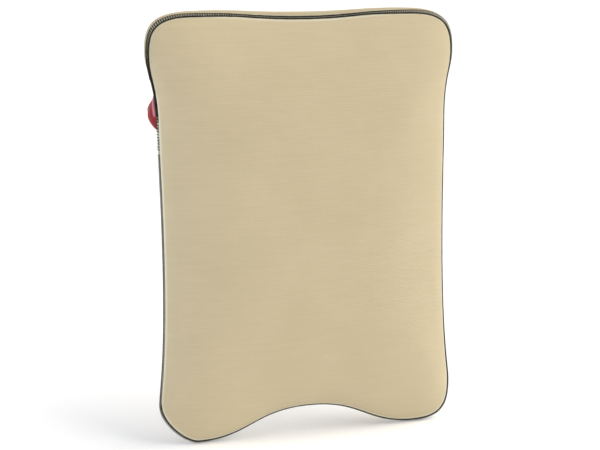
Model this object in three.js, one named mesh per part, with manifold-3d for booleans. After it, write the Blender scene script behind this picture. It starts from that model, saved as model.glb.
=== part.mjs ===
// Inflatable lumbar support cushion: two stretch-knit neoprene panels joined by a flatlock seam
// round the edge, a red vinyl bladder inside, and its valve showing through a slit in the left
// side. Millimetres, +Z up, -Y towards the sitter's back, +Y towards the chair's backrest.
// The origin is below the middle of the cushion, at the height of its two bottom lobes.
import * as THREE from "three";
import { mergeVertices } from "three/addons/utils/BufferGeometryUtils.js";
import Module from "manifold-3d";

const wasm = await Module();
wasm.setup();

// ---- Driving dimensions ----
const BASE = 1.6; // height of the outline's lowest point, which the seam's threads stand out from
const TOP_MIDDLE = 436; // heights are above the outline's lowest point
const EAR = { x: 112, top: 441, side: 158, sideZ: 402 };
const SHOULDER = { x: 150, z: 335 };
const WAIST = { x: 149, z: 230 };
const LOBE = { x: 120, side: 158, sideZ: 42 };
const ARCH_HEIGHT = 29; // clearance for the sitter's tailbone
const CENTRE_Z = 222;
const CORE = { x: 150, z: 212 }; // ellipse that the panels' contours tend to at the middle

const FRONT = { depth: 34, power: 2.4, cut: 0.985, flat: 0.2, side: -1 };
const BACK = { depth: 38, power: 2.8, cut: 0.985, flat: 0.4, side: 1 };
const SEAM_Y = (FRONT.depth - BACK.depth) / 2; // puts the origin midway through the thickness
const PLAY = 0.4; // gap left between pieces that touch
const NEOPRENE = 3;
const RIM_INSET = 3.4; // neoprene's thickness, measured square to the cushion's side
const VINYL = 1;
const WELD = { inset: 6.5, width: 6 }; // the bladder's welded edge, from the outline inwards

// Behind the seam the back panel is fuller, at the ears, at the lobes and most along the top. In
// front of it the ears and lobes are held in a little.
const SWELL = { ear: 3.6, lobe: 2.6, top: 5, start: 4.5, rise: 7.5, earLow: 360 };
const HOLD = { depth: 1, rise: 3.5 };
const LOBE_REACH = { x: 90, low: 30, high: 130 }; // where a lobe's fullness fades out

const SEAM = { halfWidth: 3.5, thread: 1 };
const ROW = { diameter: 1.2, pitchFromBand: 1 }; // the two rows of needle thread
const SLIT = { z: 346, halfLength: 40, gape: 22 };

// The vinyl neck that bulges out of the slit, and the valve in it. X runs out along the valve.
const NECK = { x: -144.2, y: 7.8, turn: THREE.MathUtils.degToRad(157), out: 14, across: 9, up: 20 };
const POCKET = { radius: 6.3, floor: 9.5 };
const FLANGE = { radius: 6, hole: 4.4, low: 9.8, high: 10.8 };
const STEM = { radius: 4.1, bore: 3.3, low: -1.5, high: 11.3 };
const PLUG = { radius: 3, tip: 4.5, head: 4.6, headHigh: 13 };
const FLAP = { radius: 3.9, thickness: 0.8 };
const STRAP = { width: 3.5, thickness: 1 };

const RINGS = 6; // rings of faces from a panel's edge to its flat middle

// ---- Materials ----
function material(colour, roughness) {
  return new THREE.MeshStandardMaterial({ color: colour, roughness, metalness: 0 });
}
const knit = material(0xd3c39d, 0.9);
const thread = material(0x2f302b, 0.85);
const vinyl = material(0x9c3038, 0.3);

// ---- Outline ----
// A quarter-turn or S-shaped stretch between two points, each with a handle along its tangent.
function stretch(from, handleFrom, to, handleTo) {
  const a = new THREE.Vector2(...from);
  const d = new THREE.Vector2(...to);
  return new THREE.CubicBezierCurve(
    a,
    a.clone().add(new THREE.Vector2(...handleFrom)),
    d.clone().add(new THREE.Vector2(...handleTo)),
    d,
  );
}

// One side of the outline from the top's middle to the arch's middle. The corner handles are
// shorter where the corner is less filled and so flatter.
function halfOutline(cornerHandles) {
  return [
    [stretch([0, TOP_MIDDLE], [50, 0], [EAR.x, EAR.top], [-50, 0]), 6],
    [stretch([EAR.x, EAR.top], [37, 0], [EAR.side, EAR.sideZ], [0, 28]), 7],
    [stretch([EAR.side, EAR.sideZ], [0, -20], [SHOULDER.x, SHOULDER.z], [0, 40]), 7],
    [stretch([SHOULDER.x, SHOULDER.z], [0, -35], [WAIST.x, WAIST.z], [0, 35]), 7],
    [stretch([WAIST.x, WAIST.z], [0, -140], [LOBE.side, LOBE.sideZ], [0, 17]), 6],
    [stretch([LOBE.side, LOBE.sideZ], [0, -cornerHandles.z], [LOBE.x, 0], [cornerHandles.x, 0]), 6],
    [stretch([LOBE.x, 0], [-55, 0], [0, ARCH_HEIGHT], [60, 0]), 7],
  ].flatMap(([curve, steps]) => curve.getPoints(steps).slice(0, -1));
}
const rightHalf = halfOutline({ x: 31, z: 29 });
const leftHalf = halfOutline({ x: 13, z: 19 });
const archMiddle = new THREE.Vector2(0, ARCH_HEIGHT);
const outline = [
  ...rightHalf,
  archMiddle,
  ...leftHalf.slice(1).reverse().map((p) => new THREE.Vector2(-p.x, p.y)),
];

// The outline moved inwards by a distance, square to itself.
function inset(points, distance) {
  return points.map((p, i) => {
    const before = points[(i + points.length - 1) % points.length];
    const after = points[(i + 1) % points.length];
    const along = after.clone().sub(before).normalize();
    return new THREE.Vector2(p.x + along.y * distance, p.y - along.x * distance);
  });
}
const outward = outline.map((p, i) => p.clone().sub(inset(outline, 1)[i]).normalize());

// ---- Panels ----
// The height of a domed panel, from 1 at its flat middle to 0 at its edge, where share is 1.
function domeHeight(share, panel) {
  const u = Math.max(0, (share - panel.flat) / (1 - panel.flat)) * panel.cut;
  const edge = (1 - panel.cut ** panel.power) ** (1 / panel.power);
  return ((1 - u ** panel.power) ** (1 / panel.power) - edge) / (1 - edge);
}

// The share at which the dome has a given height: domeHeight turned round.
function shareAtHeight(height, panel) {
  const edge = (1 - panel.cut ** panel.power) ** (1 / panel.power);
  const rise = height * (1 - edge) + edge;
  const u = (1 - rise ** panel.power) ** (1 / panel.power) / panel.cut;
  return panel.flat + u * (1 - panel.flat);
}

// How far a panel is pushed out at a height above the seam, or held in.
function swell(edge, panel, rise) {
  const { smoothstep } = THREE.MathUtils;
  const ear = smoothstep(edge.y, SWELL.earLow, EAR.sideZ);
  const top = smoothstep(edge.y, EAR.sideZ, TOP_MIDDLE);
  const low = 1 - smoothstep(edge.y, LOBE_REACH.low, LOBE_REACH.high);
  const lobe = smoothstep(Math.abs(edge.x), LOBE_REACH.x, LOBE.side) * low;
  const bump = (at) => Math.max(0, at) * Math.exp(1 - at);
  if (panel.side < 0) return -HOLD.depth * (ear + lobe) * bump(rise / HOLD.rise);
  const most = SWELL.ear * ear + SWELL.top * top + SWELL.lobe * lobe;
  return most * bump((rise - SWELL.start) / SWELL.rise) ** 2;
}

// A point of a panel: share runs from 1 at the edge point to 0 at the middle.
function panelPoint(edge, share, panel, depth, lift) {
  const away = new THREE.Vector2(edge.x, edge.y - CENTRE_Z);
  const angle = away.angle();
  const core = 1 / Math.hypot(Math.cos(angle) / CORE.x, Math.sin(angle) / CORE.z);
  const ratio = core / away.length();
  const rise = (depth - lift) * domeHeight(share, panel);
  const past = swell(edge, panel, rise) / away.length();
  const reach = share * (ratio + (1 - ratio) * share ** 2) + past;
  return new THREE.Vector3(
    away.x * reach,
    SEAM_Y + panel.side * (lift + rise),
    BASE + CENTRE_Z + away.y * reach,
  );
}

// How far the back panel's lip stands off the seam's plane along the slit.
function gape(edge) {
  if (edge.x > 0) return 0;
  const along = Math.abs(edge.y - SLIT.z) / SLIT.halfLength;
  return along < 1 ? SLIT.gape * (1 - along ** 2.5) ** 1.5 : 0;
}

// The share at which a panel starts: 1, or less where the slit's lip is drawn back.
function edgeShare(edge, panel, depth, lift) {
  const drawn = panel.side > 0 ? gape(edge) : 0;
  return drawn > lift ? shareAtHeight((drawn - lift) / (depth - lift), panel) : 1;
}

// ---- Closed meshes ----
function signedVolume(points, faces) {
  return faces.reduce(
    (sum, [a, b, c]) => sum + points[a].dot(points[b].clone().cross(points[c])) / 6,
    0,
  );
}

// A geometry from points and triangles, turned to face outwards.
function closedGeometry(points, faces) {
  const facing = signedVolume(points, faces) < 0 ? faces.map(([a, b, c]) => [a, c, b]) : faces;
  const geometry = new THREE.BufferGeometry().setFromPoints(points);
  geometry.setIndex(facing.flat());
  geometry.computeVertexNormals();
  return geometry;
}

// Rings of points joined one to the next; the last ring joins the first when looped is true,
// and otherwise both ends are closed across the section's two chains.
function loft(rings, looped) {
  const n = rings[0].length;
  const points = rings.flat();
  const faces = [];
  const quad = (a, b, c, d) => faces.push([a, b, c], [a, c, d]);
  const last = looped ? rings.length : rings.length - 1;
  for (let i = 0; i < last; i++) {
    const next = (i + 1) % rings.length;
    for (let j = 0; j < n; j++) {
      const k = (j + 1) % n;
      quad(i * n + j, i * n + k, next * n + k, next * n + j);
    }
  }
  if (!looped) {
    const end = (rings.length - 1) * n;
    for (let j = 0; j < n / 2 - 1; j++) {
      quad(j, n - 1 - j, n - 2 - j, j + 1);
      quad(end + j, end + j + 1, end + n - 2 - j, end + n - 1 - j);
    }
  }
  return closedGeometry(points, faces);
}

// A dished sheet between an outer and an inner surface, each given as rings ending at a middle.
function dish(outer, inner) {
  const n = outer.rings[0].length;
  const points = [...outer.rings.flat(), outer.middle, ...inner.rings.flat(), inner.middle];
  const innerStart = outer.rings.length * n + 1;
  const faces = [];
  const surface = (start, rings, turned) => {
    const face = (a, b, c) => faces.push(turned ? [a, c, b] : [a, b, c]);
    for (let i = 0; i < n; i++) {
      const k = (i + 1) % n;
      for (let j = 0; j < rings - 1; j++) {
        const a = start + j * n;
        face(a + i, a + k, a + n + k);
        face(a + i, a + n + k, a + n + i);
      }
      const last = start + (rings - 1) * n;
      face(last + i, last + k, last + n);
    }
  };
  surface(0, outer.rings.length, false);
  surface(innerStart, inner.rings.length, true);
  for (let i = 0; i < n; i++) {
    const k = (i + 1) % n;
    faces.push([i, innerStart + i, k], [k, innerStart + i, innerStart + k]);
  }
  return closedGeometry(points, faces);
}

// Rings crowd towards a panel's edge, where it is steepest: from 1 at the edge to 0.
function ringSpread(j, rings) {
  return Math.cos((Math.PI / 2) * (j / rings));
}

// One surface of a domed sheet.
function domeSurface(edges, panel, depth, lift, rings) {
  const made = [];
  for (let j = 0; j <= rings; j++) {
    const towards = ringSpread(j, rings);
    made.push(
      edges.map((edge) => {
        const start = edgeShare(edge, panel, depth, lift);
        return panelPoint(edge, panel.flat + (start - panel.flat) * towards, panel, depth, lift);
      }),
    );
  }
  return { rings: made, middle: panelPoint(edges[0], 0, panel, depth, lift) };
}

// ---- Booleans ----
function solidOf(geometry) {
  const bare = geometry.clone();
  bare.deleteAttribute("normal");
  bare.deleteAttribute("uv");
  const merged = mergeVertices(bare, 1e-4);
  return new wasm.Manifold(
    new wasm.Mesh({
      numProp: 3,
      vertProperties: new Float32Array(merged.attributes.position.array),
      triVerts: new Uint32Array(merged.index.array),
    }),
  );
}

function geometryOf(solid) {
  const mesh = solid.getMesh();
  const geometry = new THREE.BufferGeometry();
  geometry.setAttribute("position", new THREE.BufferAttribute(mesh.vertProperties, 3));
  geometry.setIndex(new THREE.BufferAttribute(mesh.triVerts, 1));
  geometry.computeVertexNormals();
  return geometry;
}

function cutAway(geometry, ...cutters) {
  const solid = cutters.reduce((left, cutter) => left.subtract(solidOf(cutter)), solidOf(geometry));
  return geometryOf(solid);
}

// ---- Valve neck and valve, in the neck's own frame ----
const neckFrame = new THREE.Group();
neckFrame.position.set(NECK.x, NECK.y + SEAM_Y, SLIT.z + BASE);
neckFrame.rotation.z = NECK.turn;
neckFrame.updateMatrixWorld();

function bulge(grow) {
  const radii = [NECK.out + grow, NECK.across + grow, NECK.up + grow];
  return new THREE.SphereGeometry(1, 28, 18).rotateX(Math.PI / 2).scale(...radii);
}

// A turned shape about the valve's axis, from [radius, distance out] points.
function turned(profile, segments = 24) {
  const points = profile.map(([radius, out]) => new THREE.Vector2(radius, out));
  return new THREE.LatheGeometry(points, segments).rotateZ(-Math.PI / 2);
}

function rod(radius, low, high) {
  return turned([[0, low], [radius, low], [radius, high], [0, high]]);
}

function tube(radius, bore, low, high) {
  return turned([[bore, low], [radius, low], [radius, high], [bore, high], [bore, low]]);
}

function valveNeck() {
  const behind = new THREE.BoxGeometry(40, 60, 60).translate(-20 - NECK.out * 0.6, 0, 0);
  const inside = solidOf(bulge(-VINYL)).subtract(
    solidOf(rod(POCKET.radius + VINYL, POCKET.floor - VINYL, NECK.out + 5)),
  );
  const wall = solidOf(bulge(0))
    .subtract(solidOf(rod(POCKET.radius, POCKET.floor, NECK.out + 5)))
    .subtract(inside)
    .subtract(solidOf(rod(FLANGE.hole, 0, NECK.out)))
    .subtract(solidOf(behind));
  return geometryOf(wall);
}

// The strap that keeps the plug, bent from the plug's head round to the neck's flank.
function plugStrap() {
  const path = new THREE.CatmullRomCurve3(
    [
      [12.6, -5.6],
      [12.9, -7],
      [11.9, -8.6],
      [9.6, -9.6],
      [6.6, -9.6],
    ].map(([out, across]) => new THREE.Vector3(out, across, 0)),
  );
  const rings = [];
  for (let i = 0; i <= 10; i++) {
    const centre = path.getPoint(i / 10);
    const along = path.getTangent(i / 10);
    const over = new THREE.Vector3(along.y, -along.x, 0).multiplyScalar(STRAP.thickness / 2);
    const wide = new THREE.Vector3(0, 0, STRAP.width / 2);
    rings.push([
      centre.clone().sub(wide).sub(over),
      centre.clone().add(wide).sub(over),
      centre.clone().add(wide).add(over),
      centre.clone().sub(wide).add(over),
    ]);
  }
  return loft(rings, false);
}

const neckCutter = bulge(PLAY).applyMatrix4(neckFrame.matrixWorld);

// ---- Covers ----
function cover(panel) {
  const lift = PLAY / 2;
  const outer = domeSurface(outline, panel, panel.depth, lift, RINGS);
  const lining = inset(outline, RIM_INSET);
  const inner = domeSurface(lining, panel, panel.depth - NEOPRENE, lift, RINGS);
  return cutAway(dish(outer, inner), neckCutter);
}

// ---- Bladder ----
// One vinyl sheet: a flat welded edge, then a dome that fills the cover.
function bladderSheet(panel) {
  const every = outline.filter((_, i) => i % 2 === 0);
  const sheet = { ...panel, cut: 0.95 };
  const weldEdge = inset(every, WELD.inset);
  const domeEdge = inset(every, WELD.inset + WELD.width);
  const surface = (lift, depth) => {
    const flat = weldEdge.map(
      (p) => new THREE.Vector3(p.x, SEAM_Y + panel.side * lift, BASE + p.y),
    );
    const rings = [flat];
    for (let j = 0; j <= RINGS - 2; j++) {
      const share = sheet.flat + (1 - sheet.flat) * ringSpread(j, RINGS - 2);
      rings.push(domeEdge.map((edge) => panelPoint(edge, share, sheet, depth, lift)));
    }
    return { rings, middle: panelPoint(domeEdge[0], 0, sheet, depth, lift) };
  };
  const outside = panel.depth - NEOPRENE - PLAY * 2;
  const lift = PLAY / 2;
  return cutAway(dish(surface(lift + VINYL, outside), surface(lift, outside - VINYL)), neckCutter);
}

// ---- Seam ----
// At one outline point, the panel's edge, the way its surface leaves the edge, and its normal.
function lip(panel, i) {
  const lift = PLAY / 2;
  const start = edgeShare(outline[i], panel, panel.depth, lift);
  const edge = panelPoint(outline[i], start, panel, panel.depth, lift);
  const further = panelPoint(outline[i], start - 0.02, panel, panel.depth, lift);
  const along = further.sub(edge).normalize();
  const out = new THREE.Vector3(outward[i].x, 0, outward[i].y);
  const normal = out.sub(along.clone().multiplyScalar(out.dot(along))).normalize();
  return { edge, along, normal };
}

function onLip({ edge, along, normal }, distance, height) {
  return edge.clone().addScaledVector(along, distance).addScaledVector(normal, height);
}

const all = outline.map((_, i) => i);
const inSlit = (i) => gape(outline[i]) > 0;
const slitStart = all.findIndex(inSlit);
const slit = all.filter(inSlit);
const slitEnds = [slitStart - 1, ...slit, slit[slit.length - 1] + 1];
const joined = all.map((i) => (i + slit[slit.length - 1] + 1) % all.length).filter((i) => !inSlit(i));

// The covering thread: a band folded over the edge where the two panels meet.
function coveringThread() {
  const rings = joined.map((i) => {
    const front = lip(FRONT, i);
    const back = lip(BACK, i);
    const out = new THREE.Vector3(outward[i].x, 0, outward[i].y);
    const fold = new THREE.Vector3(front.edge.x, SEAM_Y, front.edge.z);
    const low = PLAY;
    const high = PLAY + SEAM.thread;
    return [
      onLip(front, SEAM.halfWidth, low),
      fold.clone().addScaledVector(out, low * 1.2),
      onLip(back, SEAM.halfWidth, low),
      onLip(back, SEAM.halfWidth, high),
      fold.clone().addScaledVector(out, high * 1.15),
      onLip(front, SEAM.halfWidth, high),
    ];
  });
  return loft(rings, false);
}

// The thread that binds a lip of the slit.
function lipBinding(panel) {
  const rings = slitEnds.slice(1, -1).map((i) => {
    const here = lip(panel, i);
    return [
      onLip(here, PLAY, PLAY),
      onLip(here, SEAM.halfWidth, PLAY),
      onLip(here, SEAM.halfWidth, PLAY + SEAM.thread),
      onLip(here, PLAY, PLAY + SEAM.thread),
    ];
  });
  return cutAway(loft(rings, false), neckCutter);
}

// A row of needle thread, just inside the band, all the way round.
function needleRow(panel) {
  const from = SEAM.halfWidth + PLAY;
  const middle = from + ROW.diameter / 2;
  const rings = all.map((i) => {
    const here = lip(panel, i);
    return [
      onLip(here, from, PLAY + ROW.diameter / 2),
      onLip(here, middle, PLAY),
      onLip(here, from + ROW.diameter, PLAY + ROW.diameter / 2),
      onLip(here, middle, PLAY + ROW.diameter),
    ];
  });
  return loft(rings, true);
}

// ---- Assembly ----
function named(name, geometry, look) {
  const mesh = new THREE.Mesh(geometry, look);
  mesh.name = name;
  return mesh;
}

const cushion = new THREE.Group();
cushion.add(
  named("front_cover", cover(FRONT), knit),
  named("back_cover", cover(BACK), knit),
  named("seam_cover_thread", coveringThread(), thread),
  named("seam_needle_thread_front", needleRow(FRONT), thread),
  named("seam_needle_thread_back", needleRow(BACK), thread),
  named("slit_binding_front", lipBinding(FRONT), thread),
  named("slit_binding_back", lipBinding(BACK), thread),
  named("bladder_front_sheet", bladderSheet(FRONT), vinyl),
  named("bladder_back_sheet", bladderSheet(BACK), vinyl),
);

const pin = [[0, PLUG.tip], [PLUG.radius * 0.8, PLUG.tip], [PLUG.radius, PLUG.tip + 1]];
const plugProfile = [
  ...pin,
  [PLUG.radius, STEM.high + PLAY],
  [PLUG.head, STEM.high + PLAY],
  [PLUG.head, PLUG.headHigh - 0.5],
  [PLUG.head - 0.5, PLUG.headHigh],
  [0, PLUG.headHigh],
];
const flapHigh = STEM.low - PLAY;
neckFrame.add(
  named("valve_neck", valveNeck(), vinyl),
  named("valve_flange", tube(FLANGE.radius, FLANGE.hole, FLANGE.low, FLANGE.high), vinyl),
  named("valve_stem", tube(STEM.radius, STEM.bore, STEM.low, STEM.high), vinyl),
  named("valve_plug", turned(plugProfile), vinyl),
  named("plug_strap", plugStrap(), vinyl),
  named("check_flap", rod(FLAP.radius, flapHigh - FLAP.thickness, flapHigh), vinyl),
);
cushion.add(neckFrame);

export default cushion;
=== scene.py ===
"""An inflatable lumbar support cushion in a stretch-knit neoprene cover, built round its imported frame.

Two domed panels of beige rib knit bonded to neoprene foam, a dark flatlock seam round the edge,
a red vinyl bladder inside, and its valve neck showing in a slit in the left side.
"""
import math

import bmesh
import bpy
import numpy as np
from bpy.props import FloatProperty, FloatVectorProperty, IntProperty, PointerProperty
from mathutils import Matrix, Vector
from mathutils.bvhtree import BVHTree


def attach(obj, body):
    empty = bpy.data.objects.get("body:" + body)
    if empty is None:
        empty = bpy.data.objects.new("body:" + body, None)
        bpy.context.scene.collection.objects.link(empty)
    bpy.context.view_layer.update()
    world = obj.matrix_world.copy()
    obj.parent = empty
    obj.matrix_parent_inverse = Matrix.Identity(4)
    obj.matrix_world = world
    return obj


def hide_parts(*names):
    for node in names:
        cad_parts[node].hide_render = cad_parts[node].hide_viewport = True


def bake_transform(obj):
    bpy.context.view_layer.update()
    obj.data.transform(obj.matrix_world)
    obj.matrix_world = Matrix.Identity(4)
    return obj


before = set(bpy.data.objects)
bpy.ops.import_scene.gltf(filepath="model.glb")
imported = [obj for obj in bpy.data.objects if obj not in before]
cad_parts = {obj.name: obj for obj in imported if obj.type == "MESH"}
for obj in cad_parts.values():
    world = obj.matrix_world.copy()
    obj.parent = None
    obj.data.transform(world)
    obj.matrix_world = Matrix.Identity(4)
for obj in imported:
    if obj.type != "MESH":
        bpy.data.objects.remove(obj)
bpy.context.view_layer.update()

bl_info = {
    "name": "Lumbar Support Cushion",
    "version": (1, 0, 0),
    "blender": (4, 5, 0),
    "location": "View3D > Sidebar > Cushion",
    "description": "Builds an inflatable lumbar cushion piece by piece round its packed frame",
    "category": "Add Mesh",
}

MM = 0.001
BODY = "cushion"

# ---- The cut of the panels, in millimetres above the lowest point of the outline ----
BASE = 1.6
TOP_MIDDLE = 436
EAR = {"x": 112, "top": 441, "side": 158, "side_z": 402}
SHOULDER = (150, 335)
WAIST = (149, 230)
LOBE = {"x": 120, "side": 158, "side_z": 42}
ARCH_HEIGHT = 29
CENTRE_Z = 222
CORE = (150, 212)
# The seam's thread lies along a panel as it leaves the edge, over the share of it named lie.
FRONT = {"depth": 34, "power": 2.4, "cut": 0.985, "flat": 0.2, "lie": 0.02, "side": -1}
BACK = {"depth": 38, "power": 2.8, "cut": 0.985, "flat": 0.4, "lie": 0.008, "side": 1}
SEAM_Y = (FRONT["depth"] - BACK["depth"]) / 2
SLIT = {"z": 346, "half": 40, "gape": 22}
NECK = {"x": -144.2, "y": 7.8, "turn": math.radians(157), "out": 14, "across": 9, "up": 20}
POCKET = {"radius": 6.3, "floor": 9.5}
FLANGE = {"radius": 6, "bore": 4.4, "low": 9.8, "high": 10.8}
STEM = {"radius": 4.1, "bore": 3.3, "low": -1.5, "high": 11.3}
PLUG = {"radius": 3, "tip": 4.5, "head": 4.6, "top": 13}
FLAP = {"radius": 3.9, "thickness": 0.8}
STRAP_PATH = [
    (12.5, -4.9, 0), (12.7, -6.8, 0), (11.9, -8.4, 0), (9.8, -9.5, 0), (7.4, -9.5, 0), (5, -8.9, 0)
]
VINYL = 1
WELD = {"inset": 6.5, "width": 6, "cut": 0.95}  # the bladder's welded edge, from the outline in
STRAP = {"half_width": 1.75, "half_thickness": 0.5}
NECK_AROUND = 128
LATHE_STEPS = 64
FULL_FLANK = 3.4  # the neck's front flank is squarer than an ellipse, whose power is 2
# How far the back panel swells out behind the seam, from what height above it, and over what rise.
SWELL = {"ear": 10, "lobe": 4.5, "top": 1, "start": 3, "rise": 8, "ear_low": 360}
# How far the seam holds the front panel in near the ears and lobes.
HOLD = {"depth": 1, "rise": 3.5}
LOBE_REACH = {"x": 90, "low": 30, "high": 130}
PLAY = 0.4
RIM_INSET = 3.4
FLOOR_DROP = 0.2  # the floor lies just below the lowest thread
COVE = {"flat": 9000, "bend": 3500}  # a round white cove, whose floor bends up into its wall
CLOTH_FRAMES = 20
RAY_REACH = 0.02  # metres either side of a panel in which the blown-up cloth is looked for
BAND_LENGTH = 0.045  # metres along a course before its shade changes
AROUND = 560  # points round the outline
DOME_RINGS = 46  # rings from a panel's edge to its flat middle
FLAT_RINGS = 12


# ---- Colours and nodes ----
def linear(code):
    """An sRGB colour such as "D8C9A2", as linear red, green, blue and alpha."""
    channels = [int(code[i : i + 2], 16) / 255 for i in (0, 2, 4)]
    curve = [c / 12.92 if c <= 0.04045 else ((c + 0.055) / 1.055) ** 2.4 for c in channels]
    return (*curve, 1.0)


def add_node(tree, kind, settings=None, inputs=None):
    """Adds a node, sets its properties, and links or sets its inputs by name or number."""
    made = tree.nodes.new(kind)
    for name, value in (settings or {}).items():
        setattr(made, name, value)
    for name, value in (inputs or {}).items():
        socket = made.inputs[name]
        if isinstance(value, bpy.types.NodeSocket):
            tree.links.new(value, socket)
        else:
            socket.default_value = value
    return made


def new_material(name):
    """An empty node material and its tree, with the output node ready."""
    material = bpy.data.materials.new(name)
    material.use_nodes = True
    tree = material.node_tree
    tree.nodes.clear()
    return material, tree


def finish_material(tree, inputs):
    """Ends a material: the shader, with its inputs, and the output."""
    shader = add_node(tree, "ShaderNodeBsdfPrincipled", {}, inputs)
    add_node(tree, "ShaderNodeOutputMaterial", {}, {"Surface": shader.outputs["BSDF"]})


def maths(tree, operation, *values, clamp=False):
    """The result of a maths node."""
    settings = {"operation": operation, "use_clamp": clamp}
    return add_node(tree, "ShaderNodeMath", settings, dict(enumerate(values))).outputs[0]


def noise(tree, place, scale, detail, roughness=0.5):
    inputs = {"Vector": place, "Scale": scale, "Detail": detail, "Roughness": roughness}
    return add_node(tree, "ShaderNodeTexNoise", {}, inputs).outputs["Fac"]


def mixed(tree, share, first, second):
    """The colour that lies so far between two others."""
    inputs = {0: share, 6: first, 7: second}
    return add_node(tree, "ShaderNodeMix", {"data_type": "RGBA"}, inputs).outputs[2]


def ramp(tree, value, low, high):
    """How far a value is from a low to a high one, from 0 to 1."""
    inputs = {"Value": value, "From Min": low, "From Max": high}
    return add_node(tree, "ShaderNodeMapRange", {}, inputs).outputs[0]


def relief(tree, height, strength, distance):
    """The normals of a small relief."""
    inputs = {"Strength": strength, "Distance": distance, "Height": height}
    return add_node(tree, "ShaderNodeBump", {}, inputs).outputs[0]


def object_place(tree):
    return add_node(tree, "ShaderNodeTexCoord").outputs["Object"]


def mesh_value(tree, name):
    """A number that the mesh carries at each point."""
    return add_node(tree, "ShaderNodeAttribute", {"attribute_name": name}).outputs["Fac"]


def knit_neoprene(sizes, colours):
    """Stretch jersey bonded to neoprene foam. Its fine courses run across the panel, faintly uneven,
    the brushed yarn scatters light at grazing angles, and the cloth is dull all over."""
    material, tree = new_material("jersey_bonded_neoprene")
    cloth = add_node(tree, "ShaderNodeUVMap", {"uv_map": "cloth"}).outputs["UV"]
    split = add_node(tree, "ShaderNodeSeparateXYZ", {}, {0: cloth})
    across, up = split.outputs["X"], split.outputs["Y"]

    def ripple(value, pitch):
        return maths(tree, "SINE", maths(tree, "MULTIPLY", value, 2 * math.pi / pitch))

    # The real courses are about 1 mm apart, and are drawn twice as far apart so that they show.
    course, wale = ripple(up, sizes.course_pitch), ripple(across, sizes.wale_pitch)
    stitch = maths(tree, "MULTIPLY_ADD", wale, 0.35, course)
    bands_across = maths(tree, "MULTIPLY", across, 1 / BAND_LENGTH)
    bands_up = maths(tree, "MULTIPLY", up, 1 / sizes.band_pitch)
    bands_at = add_node(tree, "ShaderNodeCombineXYZ", {}, {"X": bands_across, "Y": bands_up})
    bands = noise(tree, bands_at.outputs[0], 1.0, 1.0)
    clouds = noise(tree, cloth, 14.0, 3.0)
    fuzz = noise(tree, cloth, 900.0, 2.0, 0.6)
    # Shades add up from the courses, their slow unevenness, broad clouds and the yarn's fuzz.
    shade = maths(tree, "MULTIPLY", course, 0.025)
    for part, share in ((bands, 0.25), (clouds, 0.45), (fuzz, 0.3)):
        shade = maths(tree, "MULTIPLY_ADD", part, share, shade)
    yarn = mixed(tree, ramp(tree, shade, 0.2, 0.8), colours.knit_shade, colours.knit)
    # Painted highlight: the knit is drawn in a paler colour over its last few millimetres beside the
    # seam, where the puffed edge catches light.
    near = ramp(tree, mesh_value(tree, "edge"), 0.0038, 0.0065)
    look = {
        "Base Color": mixed(tree, near, colours.knit_rim_highlight, yarn),
        "Roughness": 0.88,
        "Specular IOR Level": 0.22,
        "Sheen Weight": 0.1,
        "Sheen Roughness": 0.55,
        "Sheen Tint": (1.0, 0.96, 0.88, 1.0),
        "Normal": relief(tree, stitch, 0.35, 0.00012),
    }
    finish_material(tree, look)
    return material


def neoprene_foam(colours):
    """Closed-cell chloroprene foam at a cut edge. Fine pores make it duller than the knit."""
    material, tree = new_material("cut_neoprene_foam")
    inputs = {"Vector": object_place(tree), "Scale": 1600.0}
    pores = add_node(tree, "ShaderNodeTexVoronoi", {}, inputs).outputs["Distance"]
    look = {
        "Base Color": mixed(tree, pores, colours.foam, colours.knit_shade),
        "Roughness": 0.95,
        "Normal": relief(tree, pores, 0.4, 0.0002),
    }
    finish_material(tree, look)
    return material


def spun_thread(colours):
    """Spun polyester sewing thread, dyed charcoal. Its hairy plies are dull, with paler flecks."""
    material, tree = new_material("spun_polyester_thread")
    plies = noise(tree, object_place(tree), 2600.0, 2.0)
    look = {
        "Base Color": mixed(tree, plies, colours.thread, colours.thread_fleck),
        "Roughness": 0.8,
        "Specular IOR Level": 0.15,
        "Sheen Weight": 0.04,
        "Normal": relief(tree, plies, 0.5, 0.0001),
    }
    finish_material(tree, look)
    return material


def soft_vinyl(colours):
    """Calendered soft PVC, tinted red and a little see-through. It is deep red face on, with soft
    highlights on a faintly rippled skin, and a painted highlight of pale pink where it is seen along its
    surface."""
    material, tree = new_material("soft_pvc_vinyl")
    ripples = noise(tree, object_place(tree), 160.0, 2.0, 0.45)
    slant = add_node(tree, "ShaderNodeLayerWeight", {}, {"Blend": 0.3})
    # Painted highlight: pale pink is put into the base colour where the surface turns away from view,
    # for the reflections along the vinyl's rim.
    grazing_highlight = maths(tree, "POWER", slant.outputs["Facing"], 2.4)
    # The welt's mark adds more painted highlight: pale pink along the raised fold.
    highlight_share = maths(tree, "MAXIMUM", grazing_highlight, mesh_value(tree, "fold"), clamp=True)
    look = {
        "Base Color": mixed(tree, highlight_share, colours.vinyl, colours.vinyl_rim_highlight),
        "Roughness": 0.28,
        "IOR": 1.53,
        "Specular IOR Level": 0.3,
        "Transmission Weight": 0.1,
        "Subsurface Weight": 0.2,
        "Subsurface Radius": (0.004, 0.001, 0.001),
        "Coat Weight": 0.06,
        "Coat Roughness": 0.08,
        "Normal": relief(tree, ripples, 0.25, 0.0006),
    }
    finish_material(tree, look)
    return material


def painted_board(name, colour):
    """Matt white painted board, lit a little from below so that shadows on it stay faint."""
    material, tree = new_material(name)
    look = {"Base Color": colour, "Roughness": 0.9, "Emission Color": colour, "Emission Strength": 0.15}
    finish_material(tree, look)
    return material


def material_named(name, make):
    return bpy.data.materials.get(name) or make()


# ---- Outline ----
def stretch(start, leave, end, arrive, count=60):
    """A cubic curve between two points of the outline, with a handle along each tangent."""
    a, d = np.array(start, float), np.array(end, float)
    b, c = a + leave, d + arrive
    t = np.linspace(0, 1, count, endpoint=False)[:, None]
    return (1 - t) ** 3 * a + 3 * (1 - t) ** 2 * t * b + 3 * (1 - t) * t**2 * c + t**3 * d


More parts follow.
